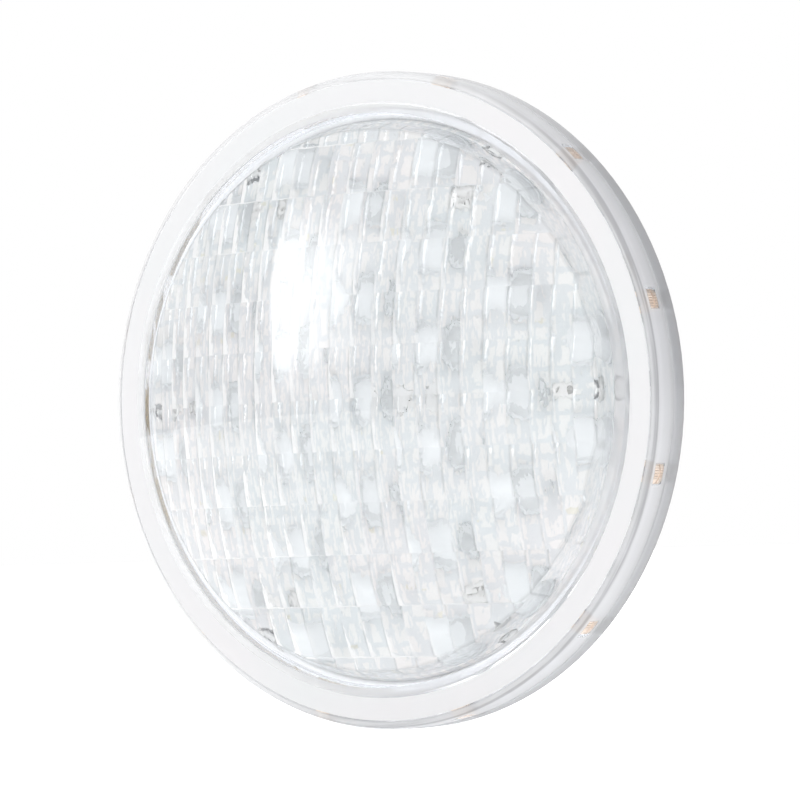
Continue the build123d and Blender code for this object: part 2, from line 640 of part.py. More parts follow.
def terminal_nuts():
    """Hexagonal nuts that hold the terminal bushes from inside."""
    high = BOSS_Y - BOSS_WALL - TAG_THICKNESS
    nuts = []
    for x in (-TERMINAL_X, TERMINAL_X):
        nut = hexagon(NUT_ACROSS_FLATS, high - NUT_THICKNESS, high, x)
        nuts.append(nut - rod(BUSH_HOLE, high - NUT_THICKNESS, high, x))
    return group(nuts)


def clamp_washer(x):
    """Square clamp washer with two turned-down lips that keep a cable lug from slipping out sideways."""
    low = FLANGE_OUTER_Y
    plate = block((CLAMP_WIDTH, CLAMP_THICKNESS, CLAMP_SIDE), (x, low + CLAMP_THICKNESS / 2, 0))
    for side in (-1, 1):
        lip_x = x + side * (CLAMP_WIDTH - CLAMP_LIP) / 2
        plate += block((CLAMP_LIP, CLAMP_LIP_DEPTH, CLAMP_SIDE), (lip_x, low - CLAMP_LIP_DEPTH / 2, 0))
    return plate - rod(TERMINAL_HOLE_RADIUS, low, low + CLAMP_THICKNESS, x)


def terminal_screw(x):
    """M4 terminal screw with a slotted pan head."""
    bearing = FLANGE_OUTER_Y + CLAMP_THICKNESS
    top = bearing + TERMINAL_HEAD_HEIGHT
    head = rod(TERMINAL_HEAD_RADIUS, bearing, top, x)
    head = fillet(head.edges().filter_by(GeomType.CIRCLE).sort_by(Axis.Y)[-1], 1.0)
    head -= block((2 * TERMINAL_HEAD_RADIUS, 2 * SLOT_DEPTH, SLOT_WIDTH), (x, top, 0))
    shank = rod(M4_RADIUS, bearing - TERMINAL_SCREW_LENGTH, bearing, x)
    return head + chamfer(shank.edges().filter_by(GeomType.CIRCLE).sort_by(Axis.Y)[0], 0.4)


PARTS = {
    "front_lens": front_lens,
    "rim_inserts": rim_inserts,
    "rim_seal": rim_seal,
    "rim_screws": rim_screws,
    "rear_housing": rear_housing,
    "heat_sink": heat_sink,
    "sink_screws": sink_screws,
    "thermal_pad": thermal_pad,
    "led_board": led_board,
    "led_packages": led_packages,
    "led_phosphors": led_phosphors,
    "led_optics": led_optics,
    "board_screws": board_screws,
    "standoffs": standoffs,
    "driver_board": driver_board,
    "driver_screws": driver_screws,
    "capacitors": capacitors,
    "choke_core": choke_core,
    "choke_winding": choke_winding,
    "rectifier": rectifier,
    "driver_chips": driver_chips,
    "film_capacitor": film_capacitor,
    "input_connector": input_connector,
    "connector_screws": connector_screws,
    "led_lead_positive": lambda: led_lead(1),
    "led_lead_negative": lambda: led_lead(-1),
    "lead_grommet": lead_grommet,
    "supply_leads": supply_leads,
    "terminal_bushes": terminal_bushes,
    "terminal_seals": terminal_seals,
    "solder_tags": solder_tags,
    "terminal_nuts": terminal_nuts,
    "clamp_washer_left": lambda: clamp_washer(-TERMINAL_X),
    "clamp_washer_right": lambda: clamp_washer(TERMINAL_X),
    "terminal_screw_left": lambda: terminal_screw(-TERMINAL_X),
    "terminal_screw_right": lambda: terminal_screw(TERMINAL_X),
}

if __name__ == "__main__":
    os.makedirs("parts", exist_ok=True)
    for name, build in PARTS.items():
        export_step(build(), f"parts/{name}.step")
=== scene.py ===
import json
import math

import bmesh
import bpy
import numpy as np
from mathutils import Matrix, Vector


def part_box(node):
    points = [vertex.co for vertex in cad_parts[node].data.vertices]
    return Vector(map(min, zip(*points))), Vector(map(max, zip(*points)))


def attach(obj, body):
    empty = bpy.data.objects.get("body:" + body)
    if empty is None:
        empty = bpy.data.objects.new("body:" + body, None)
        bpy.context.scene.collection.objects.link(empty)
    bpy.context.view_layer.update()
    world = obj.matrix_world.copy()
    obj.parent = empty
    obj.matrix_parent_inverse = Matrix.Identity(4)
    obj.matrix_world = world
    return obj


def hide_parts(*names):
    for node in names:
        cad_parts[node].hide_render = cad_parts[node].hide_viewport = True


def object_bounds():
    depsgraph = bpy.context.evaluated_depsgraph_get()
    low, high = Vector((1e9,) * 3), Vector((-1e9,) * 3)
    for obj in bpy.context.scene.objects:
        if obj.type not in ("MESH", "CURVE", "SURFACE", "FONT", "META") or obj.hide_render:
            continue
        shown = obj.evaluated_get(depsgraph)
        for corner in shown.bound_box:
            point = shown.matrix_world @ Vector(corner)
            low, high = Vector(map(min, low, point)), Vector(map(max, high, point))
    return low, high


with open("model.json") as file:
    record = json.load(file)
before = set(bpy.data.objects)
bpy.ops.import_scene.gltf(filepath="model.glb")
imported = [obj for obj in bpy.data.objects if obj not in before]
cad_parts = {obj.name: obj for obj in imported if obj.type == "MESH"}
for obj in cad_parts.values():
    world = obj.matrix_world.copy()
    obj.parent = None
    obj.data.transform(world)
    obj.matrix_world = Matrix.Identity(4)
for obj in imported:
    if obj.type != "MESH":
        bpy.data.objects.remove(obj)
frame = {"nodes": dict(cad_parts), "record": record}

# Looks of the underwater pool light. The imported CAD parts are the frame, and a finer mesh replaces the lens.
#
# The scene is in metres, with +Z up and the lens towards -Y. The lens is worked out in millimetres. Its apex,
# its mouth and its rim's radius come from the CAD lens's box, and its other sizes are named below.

MM = 0.001

# ---- lens sizes, in millimetres; the columns fan by an angle, so their pitch is right at the middle ----
RIM_RADIUS = 88.8
RIM_EDGE_ROUND = 2.4
RIM_THICKNESS = 7.6
STEP_RADIUS = 80.3
STEP_HEIGHT = 2.8
STEP_FOOT_WIDTH = 0.5
STEP_FOOT_HEIGHT = 1.5
DOME_RADIUS = 77.3
CAVITY_RADIUS = 72.5
LENS_WALL = 3.6
FLUTE_DEPTH = 1.3
COLUMN_PITCH = 6.5
COLUMNS = 26
COLUMN_FAN = 105.0
ROW_PITCH = 13.7
ROWS = 12
ROW_LEAN = 0.7
ROW_BULGE = 0.7
CELL_UNEVENNESS = 0.35
CELL_SEED = 5

# ---- fineness of the lens mesh ----
SAMPLES_PER_COLUMN = 12
SAMPLES_PER_ROW = 8
TURN_STEPS = 360
DOME_STEPS = 60
FACE_STEPS = 4
ROUND_STEPS = 8
SHARP_ANGLE = 22

# ---- how clear pieces carry light; a ray that has bent this many times goes straight on ----
PLASTIC_IOR = 1.585
SILICONE_IOR = 1.42
LENS_BENDS = 2
HOUSING_BENDS = 5
NO_BEND_LIMIT = 99
LENS_TINT = (0.987, 0.99, 0.993)
HOUSING_TINT = (0.965, 0.97, 0.98)

# ---- ground rim edge: millimetres, with each band as (millimetres behind the rim face, grey); the greys are the milky tone with painted shade, a dark line just behind the face and darker towards the back ----
LENS_BANDS = [(0.0, 0.56), (0.4, 0.54), (0.6, 0.36), (0.9, 0.36), (1.4, 0.66), (6.0, 0.58), (7.6, 0.48)]
HOUSING_BANDS = [(7.6, 0.46), (8.6, 0.37), (9.8, 0.33), (13.0, 0.33)]
FLAT_END = RIM_RADIUS - RIM_EDGE_ROUND
RIM_STACK = 13.0
EDGE_MILKINESS = 0.8
BEAD_MILKINESS = 0.45
STREAK_WANDER = 2.0
LIT_EDGE = (0.70, 0.70, 0.70)
LIT_LEAN = 0.5
LIT_FROM = -30.0
LIT_TO = 40.0
# The corner line is painted shade: a thin dark line where the flat face meets the rounded edge.
CORNER_LINE_INSET = 0.3
CORNER_SHADE_STRENGTH = 0.3
CORNER_SHADE_COLOUR = (0.2, 0.2, 0.21)
INSERTS = 12
WINDOW_MIDDLE = 4.0
WINDOW_HALF_LENGTH = 2.0
WINDOW_HALF_SHARE = 0.055

# ---- inside of the lens: painted white streaks, a painted reflection of the studio, between these places across; painted shade at the cusps, on the wall beyond the flutes and at its edge ----
STREAK_NARROWING = 0.28
STREAK_UNEVENNESS = 0.35
STREAK_STEEPNESS = 0.72
STREAKS_FROM = -35.0
STREAKS_TO = 45.0
CUSP_SHADE = 0.16
WALL_SHADE = 0.10
WALL_LINE_RADIUS = CAVITY_RADIUS - 0.5
WALL_LINE_HALF = 0.35
WALL_LINE_SHADE = 0.07

# ---- view: degrees, and a focal length in millimetres ----
CAMERA_AZIMUTH = 34.6
CAMERA_ELEVATION = -0.4
CAMERA_ROLL = 2.2
CAMERA_DISTANCE = 1.2
CAMERA_LENS = 200.2
AIM_RIGHT = 6.7 * MM
FACE_Y = -13.0 * MM
FLOOR_REACH = 6.0

# ---- light: the softbox's sizes are tangents of angles from its middle ----
LEFT_WALL = (1.5, 1.5, 1.5)
RIGHT_WALL = (0.87, 0.87, 0.885)
WALL_BLEND = 0.6
DARK_SIDES = (0.42, 0.43, 0.46)
DARK_BELOW = 0.35
WHITE_ABOVE = 0.9
SOFTBOX_DIRECTION = (-0.68, -0.67, 0.31)
SOFTBOX_REACH = 0.13
SOFTBOX_RISE = 0.20
SOFTBOX_LEAN = 0.35
SOFTBOX_RADIANCE = 5.0

cad_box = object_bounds()


# ---------------------------------------------------------------- shader helpers
def new_material(name):
    """An empty node material: its node tree and its output node."""
    material = bpy.data.materials.new(name)
    material.use_nodes = True
    tree = material.node_tree
    tree.nodes.clear()
    output = tree.nodes.new("ShaderNodeOutputMaterial")
    return material, tree, output


def node(tree, kind, **settings):
    """Adds a node. A setting is an attribute or, with underscores for spaces, the value of an input."""
    made = tree.nodes.new(kind)
    for key, value in settings.items():
        if hasattr(made, key):
            setattr(made, key, value)
        else:
            made.inputs[key.replace("_", " ")].default_value = value
    return made


def link(tree, source, target):
    """Joins an output socket to an input socket."""
    tree.links.new(source, target)


def math_node(tree, operation, first, second=None):
    """A math node whose inputs are sockets or numbers."""
    made = node(tree, "ShaderNodeMath", operation=operation)
    for index, value in enumerate((first, second)):
        if value is None:
            continue
        if isinstance(value, (int, float)):
            made.inputs[index].default_value = value
        else:
            link(tree, value, made.inputs[index])
    return made.outputs[0]


def mix_colour(tree, factor, first, second, blend="MIX"):
    """A colour mix whose factor and colours are sockets or values."""
    made = node(tree, "ShaderNodeMix", data_type="RGBA", blend_type=blend)
    for socket, value in ((made.inputs[0], factor), (made.inputs[6], first), (made.inputs[7], second)):
        if isinstance(value, bpy.types.NodeSocket):
            link(tree, value, socket)
        elif isinstance(value, (int, float)):
            socket.default_value = value
        else:
            socket.default_value = (*value, 1.0)
    return made.outputs[2]


def ramp(tree, source, low, high, low_value=0.0, high_value=1.0):
    """Maps source from low..high to low_value..high_value, clamped."""
    made = node(tree, "ShaderNodeMapRange")
    link(tree, source, made.inputs[0])
    for index, value in enumerate((low, high, low_value, high_value), start=1):
        made.inputs[index].default_value = value
    return made.outputs[0]


def position(tree, stretch=(1.0, 1.0, 1.0)):
    """Object coordinates in metres, optionally stretched."""
    coordinates = node(tree, "ShaderNodeTexCoord").outputs["Object"]
    mapping = node(tree, "ShaderNodeMapping")
    mapping.inputs["Scale"].default_value = stretch
    link(tree, coordinates, mapping.inputs["Vector"])
    return mapping.outputs[0]


def noise(tree, scale, detail=3.0, roughness=0.5, stretch=(1.0, 1.0, 1.0)):
    """Noise value at a scale in features per metre."""
    made = node(tree, "ShaderNodeTexNoise", Scale=scale, Detail=detail, Roughness=roughness)
    link(tree, position(tree, stretch), made.inputs["Vector"])
    return made.outputs["Fac"]


def bump(tree, height, distance, strength=1.0):
    """A bump normal from a height socket; distance is the relief in metres."""
    made = node(tree, "ShaderNodeBump", Distance=distance, Strength=strength)
    link(tree, height, made.inputs["Height"])
    return made.outputs[0]


def principled(tree, output, **values):
    """A Principled BSDF with inputs given as values or sockets, wired to the output."""
    shader = tree.nodes.new("ShaderNodeBsdfPrincipled")
    for key, value in values.items():
        socket = shader.inputs[key.replace("_", " ")]
        if isinstance(value, bpy.types.NodeSocket):
            link(tree, value, socket)
        elif isinstance(value, tuple) and len(value) == 3 and socket.type == "RGBA":
            socket.default_value = (*value, 1.0)
        else:
            socket.default_value = value
    link(tree, shader.outputs[0], output.inputs["Surface"])
    return shader


def distance(tree, value, middle):
    """How far a value is from a middle."""
    return math_node(tree, "ABSOLUTE", math_node(tree, "SUBTRACT", value, middle))


def mix_shader(tree, share, first, second):
    """A mix of two shaders. The share is a socket or a number, and belongs to the second."""
    made = node(tree, "ShaderNodeMixShader")
    if isinstance(share, (int, float)):
        made.inputs[0].default_value = share
    else:
        link(tree, share, made.inputs[0])
    link(tree, first, made.inputs[1])
    link(tree, second, made.inputs[2])
    return made.outputs[0]


def lens_place(tree):
    """Sockets for x, y, z and the distance from the lamp's axis, in millimetres."""
    axes = node(tree, "ShaderNodeSeparateXYZ")
    link(tree, position(tree, (1 / MM, 1 / MM, 1 / MM)), axes.inputs[0])
    x, y, z = axes.outputs
    squares = [math_node(tree, "POWER", math_node(tree, "ABSOLUTE", side), 2.0) for side in (x, z)]
    return x, y, z, math_node(tree, "SQRT", math_node(tree, "ADD", *squares))


def passes_straight(tree, bends):
    """One for lighting rays and for rays that have bent at least this many times, and zero for the rest."""
    path = node(tree, "ShaderNodeLightPath")
    lighting = math_node(tree, "MAXIMUM", path.outputs["Is Shadow Ray"], path.outputs["Is Diffuse Ray"])
    bent = math_node(tree, "GREATER_THAN", path.outputs["Ray Depth"], bends - 0.5)
    return math_node(tree, "MAXIMUM", lighting, bent)


def let_light_through(tree, output, shader, tint, bends):
    """Wires a shader to the output, with a straight way through for the rays that passes_straight picks."""
    passing = node(tree, "ShaderNodeBsdfTransparent")
    passing.inputs["Color"].default_value = (*tint, 1.0)
    chosen = mix_shader(tree, passes_straight(tree, bends), shader, passing.outputs[0])
    link(tree, chosen, output.inputs["Surface"])


# ---------------------------------------------------------------- clear materials
def clear_plastic(name, tint, polish, bends, bands, is_lens):
    """Clear moulded plastic with a ground rim edge. Rays that have bent this many times pass it straight."""
    material, tree, output = new_material(name)
    glass = node(tree, "ShaderNodeBsdfGlass", IOR=PLASTIC_IOR)
    glass.inputs["Color"].default_value = (*tint, 1.0)
    link(tree, ramp(tree, noise(tree, 140, 4), 0.35, 0.75, polish, polish + 0.02), glass.inputs["Roughness"])
    link(tree, bump(tree, noise(tree, 60, 2), 0.00002, 0.25), glass.inputs["Normal"])
    x, y, z, radius = lens_place(tree)
    behind_face = math_node(tree, "SUBTRACT", y, FACE_Y / MM)
    # The milky edge's colour carries painted light and painted shade from the bands, the lit side and the
    # corner line.
    tone = edge_tone(tree, x, z, radius, band_grey(tree, behind_face, bands))
    milk = node(tree, "ShaderNodeBsdfPrincipled", Roughness=0.35, IOR=PLASTIC_IOR)
    link(tree, tone, milk.inputs["Base Color"])
    cover = ramp(tree, radius, FLAT_END, FLAT_END + 0.4, 0.0, EDGE_MILKINESS)
    if is_lens:
        cover = math_node(tree, "MULTIPLY", cover, beside_inserts(tree, x, z, behind_face))
        cover = math_node(tree, "MAXIMUM", cover, bead_cover(tree, radius))
    shader = mix_shader(tree, cover, glass.outputs[0], milk.outputs[0])
    let_light_through(tree, output, shader, tint, bends)
    return material


def band_grey(tree, behind_face, bands):
    """Grey of the ground edge, from (millimetres behind the rim face, grey) stops that wander a little: its
    milky tone with painted shade bands.
    """
    streaks = noise(tree, 400, 3, 0.6, (0.03, 2.0, 0.03))
    wander = math_node(tree, "MULTIPLY", math_node(tree, "SUBTRACT", streaks, 0.5), STREAK_WANDER)
    greys = node(tree, "ShaderNodeValToRGB")
    stops = greys.color_ramp.elements
    for i, (station, grey) in enumerate(bands):
        stop = stops[i] if i < 2 else stops.new(1.0)
        stop.position = station / RIM_STACK
        stop.color = (grey, grey, grey * 1.02, 1.0)
    shifted = math_node(tree, "ADD", behind_face, wander)
    link(tree, math_node(tree, "DIVIDE", shifted, RIM_STACK), greys.inputs[0])
    return greys.outputs[0]


def edge_tone(tree, x, z, radius, grey):
    """The ground edge's colour: its greys, with painted light on the lit side and a thin line of painted shade
    at the corner.
    """
    off_lit_side = math_node(tree, "SUBTRACT", x, math_node(tree, "MULTIPLY", z, LIT_LEAN))
    lit = ramp(tree, off_lit_side, LIT_FROM, LIT_TO, 1.0, 0.0)
    tone = mix_colour(tree, lit, grey, LIT_EDGE)
    # Painted shade: a thin dark line at the corner, where the flat face meets the rounded edge.
    from_corner_shade = distance(tree, radius, FLAT_END + CORNER_LINE_INSET)
    line = ramp(tree, from_corner_shade, 0.2, 0.4, CORNER_SHADE_STRENGTH, 0.0)
    return mix_colour(tree, line, tone, CORNER_SHADE_COLOUR)


def beside_inserts(tree, x, z, behind_face):
    """Zero over each insert, where the plastic is a clear window, and one elsewhere."""
    turn = math_node(tree, "MULTIPLY", math_node(tree, "ARCTAN2", z, x), INSERTS / (2 * math.pi))
    from_insert = distance(tree, math_node(tree, "FRACT", math_node(tree, "ADD", turn, INSERTS)), 0.5)
    beside = ramp(tree, from_insert, WINDOW_HALF_SHARE, WINDOW_HALF_SHARE + 0.013)
    from_middle = distance(tree, behind_face, WINDOW_MIDDLE)
    beyond = ramp(tree, from_middle, WINDOW_HALF_LENGTH, WINDOW_HALF_LENGTH + 0.2)
    return math_node(tree, "MAXIMUM", beside, beyond)


def bead_cover(tree, radius):
    """How milky the lens is from the dome's foot to the end of the flat rim face."""
    on_bead = ramp(tree, radius, DOME_RADIUS - 0.2, DOME_RADIUS + 0.2, 0.0, BEAD_MILKINESS)
    before_rim = math_node(tree, "LESS_THAN", radius, FLAT_END)
    return math_node(tree, "MULTIPLY", on_bead, before_rim)


def fluted_plastic(name, tint):
    """The inside of the lens. Where a flute turns the light back, white emission mixed into the glass paints
    the studio's reflection as white streaks.
    """
    material, tree, output = new_material(name)
    x, _, z, radius = lens_place(tree)
    ripples = bump(tree, noise(tree, 200, 2, 0.6), 0.0004, 0.6)
    watery = bump(tree, noise(tree, 430, 2, 0.5, (1.0, 1.0, 0.55)), 0.0004, 0.6)
    link(tree, ripples, watery.node.inputs["Normal"])
    turn = math_node(tree, "ARCSINE", math_node(tree, "DIVIDE", x, COLUMN_FAN))
    column = math_node(tree, "MULTIPLY", turn, COLUMN_FAN / COLUMN_PITCH)
    row = math_node(tree, "DIVIDE", z, ROW_PITCH)
    smooth_wall = ramp(tree, radius, WALL_LINE_RADIUS, WALL_LINE_RADIUS + 0.2)
    shade = flute_shade(tree, radius, column, smooth_wall)
    glass = node(tree, "ShaderNodeBsdfGlass", IOR=PLASTIC_IOR, Roughness=0.0)
    link(tree, mix_colour(tree, shade, (0.0, 0.0, 0.0), tint), glass.inputs["Color"])
    link(tree, watery, glass.inputs["Normal"])
    # Painted reflection: a white emission stands in for the bright studio seen in the flutes.
    painted_streak = node(tree, "ShaderNodeEmission", Strength=1.0)
    share = painted_streak_share(tree, x, column, row, watery, smooth_wall)
    glint = mix_shader(tree, share, glass.outputs[0], painted_streak.outputs[0])
    let_light_through(tree, output, glint, tint, LENS_BENDS)
    return material


def flute_shade(tree, radius, column, smooth_wall):
    """Share of the light that passes, as painted shade: less at the flutes' cusps, on the smooth wall and at
    its edge.
    """
    from_cusp = distance(tree, math_node(tree, "FRACT", math_node(tree, "ADD", column, COLUMNS + 0.5)), 0.5)
    at_cusp = ramp(tree, from_cusp, 0.02, 0.08, 1.0, 0.0)
    patchy = ramp(tree, noise(tree, 110, 2), 0.4, 0.6, 0.0, CUSP_SHADE)
    wall_edge = math_node(tree, "LESS_THAN", distance(tree, radius, WALL_LINE_RADIUS), WALL_LINE_HALF)
    losses = (
        math_node(tree, "MULTIPLY", at_cusp, patchy),
        math_node(tree, "MULTIPLY", smooth_wall, WALL_SHADE),
        math_node(tree, "MULTIPLY", wall_edge, WALL_LINE_SHADE),
    )
    shade = 1.0
    for loss in losses:
        shade = math_node(tree, "SUBTRACT", shade, loss)
    return shade


def painted_streak_share(tree, x, column, row, normal, smooth_wall):
    """How much of the painted white streaks shows, a painted reflection of the studio: where a flute is steep
    to the view, by chance from cell to cell, and more on the left. Only rays that have bent at most once see
    it."""
    geometry = node(tree, "ShaderNodeNewGeometry")
    facing = node(tree, "ShaderNodeVectorMath", operation="DOT_PRODUCT")
    link(tree, geometry.outputs["Incoming"], facing.inputs[0])
    link(tree, normal, facing.inputs[1])
    steepness = math_node(tree, "ABSOLUTE", facing.outputs["Value"])
    along_row = math_node(tree, "FRACT", math_node(tree, "ADD", row, ROWS))
    narrowing = math_node(tree, "MULTIPLY", along_row, STREAK_NARROWING)
    wobble = math_node(tree, "SUBTRACT", noise(tree, 260, 2), 0.5)
    unevenness = math_node(tree, "MULTIPLY", wobble, STREAK_UNEVENNESS)
    edge = math_node(tree, "ADD", math_node(tree, "ADD", steepness, narrowing), unevenness)
    turned_back = ramp(tree, edge, STREAK_STEEPNESS, STREAK_STEEPNESS + 0.08, 1.0, 0.0)
    cell = node(tree, "ShaderNodeCombineXYZ")
    link(tree, math_node(tree, "FLOOR", column), cell.inputs[0])
    link(tree, math_node(tree, "FLOOR", row), cell.inputs[1])
    chance = node(tree, "ShaderNodeTexWhiteNoise", noise_dimensions="2D")
    link(tree, cell.outputs[0], chance.inputs["Vector"])
    lively = ramp(tree, chance.outputs["Value"], 0.0, 0.8, 0.2, 1.1)
    leftward = ramp(tree, x, STREAKS_FROM, STREAKS_TO, 1.0, 0.25)
    path = node(tree, "ShaderNodeLightPath")
    first = math_node(tree, "LESS_THAN", path.outputs["Ray Depth"], 1.5)
    fluted = math_node(tree, "SUBTRACT", 1.0, smooth_wall)
    share = turned_back
    for factor in (math_node(tree, "MULTIPLY", lively, leftward), fluted, first):
        share = math_node(tree, "MULTIPLY", share, factor)
    return math_node(tree, "MINIMUM", share, 1.0)


def milky_optic(name, tint, milkiness):
    """Clear silicone with a milky cast, so the piece below shows only softly."""
    material, tree, output = new_material(name)
    glass = node(tree, "ShaderNodeBsdfGlass", IOR=SILICONE_IOR)
    glass.inputs["Color"].default_value = (*tint, 1.0)
    link(tree, ramp(tree, noise(tree, 700, 3), 0.3, 0.7, 0.12, 0.22), glass.inputs["Roughness"])
    # The milk's faint glow in its own tint is painted light on the LED caps.
    milk = node(tree, "ShaderNodeBsdfPrincipled", Roughness=0.3, Emission_Strength=0.1)
    milk.inputs["Emission Color"].default_value = (*tint, 1.0)
    darker = tuple(c * 0.93 for c in tint)
    link(tree, mix_colour(tree, noise(tree, 260, 3), darker, tint), milk.inputs["Base Color"])
    cast = mix_shader(tree, milkiness, glass.outputs[0], milk.outputs[0])
    let_light_through(tree, output, cast, tint, HOUSING_BENDS)
    return material


def frosted_plastic(name, colour):
    """Clear plastic with a fine-ground face: milky to look at, and it still lets the light through."""
    material, tree, output = new_material(name)
    warm = tuple(c * f for c, f in zip(colour, (1.01, 0.995, 1.0)))
    cool = tuple(c * f for c, f in zip(colour, (0.985, 1.0, 1.0)))
    milk = node(tree, "ShaderNodeBsdfPrincipled", IOR=PLASTIC_IOR)
    patches = ramp(tree, noise(tree, 22, 3), 0.35, 0.65)
    link(tree, mix_colour(tree, patches, warm, cool), milk.inputs["Base Color"])
    link(tree, ramp(tree, noise(tree, 500, 3), 0.3, 0.7, 0.28, 0.42), milk.inputs["Roughness"])
    link(tree, bump(tree, noise(tree, 2500, 2), 0.00001, 0.3), milk.inputs["Normal"])
    let_light_through(tree, output, milk.outputs[0], (1.0, 1.0, 1.0), NO_BEND_LIMIT)
    return material


# ---------------------------------------------------------------- opaque materials
def metal(name, colour, roughness, grain, stretch=(1.0, 1.0, 1.0), metallic=1.0):
    """Bare metal with fine machining grain and a little uneven dulling."""
    material, tree, output = new_material(name)
    stain = ramp(tree, noise(tree, 90, 4), 0.4, 0.8, 0.0, 0.12)
    darker = tuple(c * 0.62 for c in colour)
    base = mix_colour(tree, stain, colour, darker)
    fine = noise(tree, grain * 6, 2, 0.6, stretch)
    rough = ramp(tree, fine, 0.3, 0.7, roughness - 0.06, roughness + 0.08)
    principled(tree, output, Base_Color=base, Metallic=metallic, Roughness=rough,
               Normal=bump(tree, fine, 0.00003, 0.35))
    return material


def moulded(name, colour, roughness, grain, variation=0.08, coat=0.0):
    """Opaque moulded plastic or rubber with fine texture and faint colour variation."""
    material, tree, output = new_material(name)
    lighter = tuple(min(1.0, c * (1 + variation) + 0.01) for c in colour)
    darker = tuple(c * (1 - variation) for c in colour)
    base = mix_colour(tree, noise(tree, 110, 4), darker, lighter)
    fine = noise(tree, grain * 3, 3, 0.6)
    rough = ramp(tree, fine, 0.3, 0.7, roughness - 0.05, roughness + 0.07)
    principled(tree, output, Base_Color=base, Roughness=rough, Coat_Weight=coat,
               Normal=bump(tree, fine, 0.00004, 0.4))
    return material


def circuit_board(name, mask_colour, track_colour, track_scale):
    """Solder mask with raised copper tracks running under it and small bare pads."""
    material, tree, output = new_material(name)
    cells = node(tree, "ShaderNodeTexBrick", Scale=track_scale, Mortar_Size=0.06)
    cells.offset = 0.5
    axes = node(tree, "ShaderNodeSeparateXYZ")
    link(tree, position(tree), axes.inputs[0])
    flat = node(tree, "ShaderNodeCombineXYZ")
    link(tree, axes.outputs[2], flat.inputs[0])
    link(tree, axes.outputs[0], flat.inputs[1])
    link(tree, flat.outputs[0], cells.inputs["Vector"])
    tracks = cells.outputs["Fac"]
    pads = node(tree, "ShaderNodeTexVoronoi", Scale=track_scale * 1.4, Randomness=0.3)
    link(tree, flat.outputs[0], pads.inputs["Vector"])
    pad = math_node(tree, "LESS_THAN", pads.outputs["Distance"], 0.09)
    base = mix_colour(tree, tracks, mask_colour, track_colour)
    base = mix_colour(tree, pad, base, (0.72, 0.70, 0.62))
    base = mix_colour(tree, ramp(tree, noise(tree, 300, 4), 0.3, 0.8, 0.0, 0.12), base, (0.5, 0.5, 0.5))
    tone = mix_colour(tree, ramp(tree, noise(tree, 28, 2), 0.4, 0.6), (1.0, 0.975, 0.965), (0.96, 0.98, 0.97))
    base = mix_colour(tree, 1.0, base, tone, "MULTIPLY")
    height = math_node(tree, "ADD", tracks, pad)
    principled(tree, output, Base_Color=base, Roughness=0.38, Metallic=math_node(tree, "MULTIPLY", pad, 0.9),
               Coat_Weight=0.25, Normal=bump(tree, height, 0.00006, 0.6))
    return material


def phosphor(name):
    """Soft yellow gel over the LED dies, a little deeper in the middle."""
    material, tree, output = new_material(name)
    base = mix_colour(tree, noise(tree, 900, 3), (0.80, 0.79, 0.70), (0.86, 0.85, 0.78))
    principled(tree, output, Base_Color=base, Roughness=0.3, Subsurface_Weight=0.15, Coat_Weight=0.5,
               Normal=bump(tree, noise(tree, 1500, 2), 0.00005, 0.3))
    return material


def sleeve(name):
    """Dark heat-shrink sleeve with a paler polarity stripe, and a bare aluminium top."""
    material, tree, output = new_material(name)
    geometry = node(tree, "ShaderNodeNewGeometry")
    axes = node(tree, "ShaderNodeSeparateXYZ")
    link(tree, geometry.outputs["Normal"], axes.inputs[0])
    top = math_node(tree, "GREATER_THAN", math_node(tree, "ABSOLUTE", axes.outputs[1]), 0.9)
    stripe = math_node(tree, "GREATER_THAN", axes.outputs[0], 0.86)
    base = mix_colour(tree, stripe, (0.02, 0.022, 0.03), (0.55, 0.57, 0.6))
    base = mix_colour(tree, top, base, (0.78, 0.79, 0.8))
    rough = ramp(tree, noise(tree, 700, 3), 0.3, 0.7, 0.25, 0.42)
    principled(tree, output, Base_Color=base, Metallic=top, Roughness=rough,
               Normal=bump(tree, noise(tree, 1200, 2), 0.00003, 0.3))
    return material


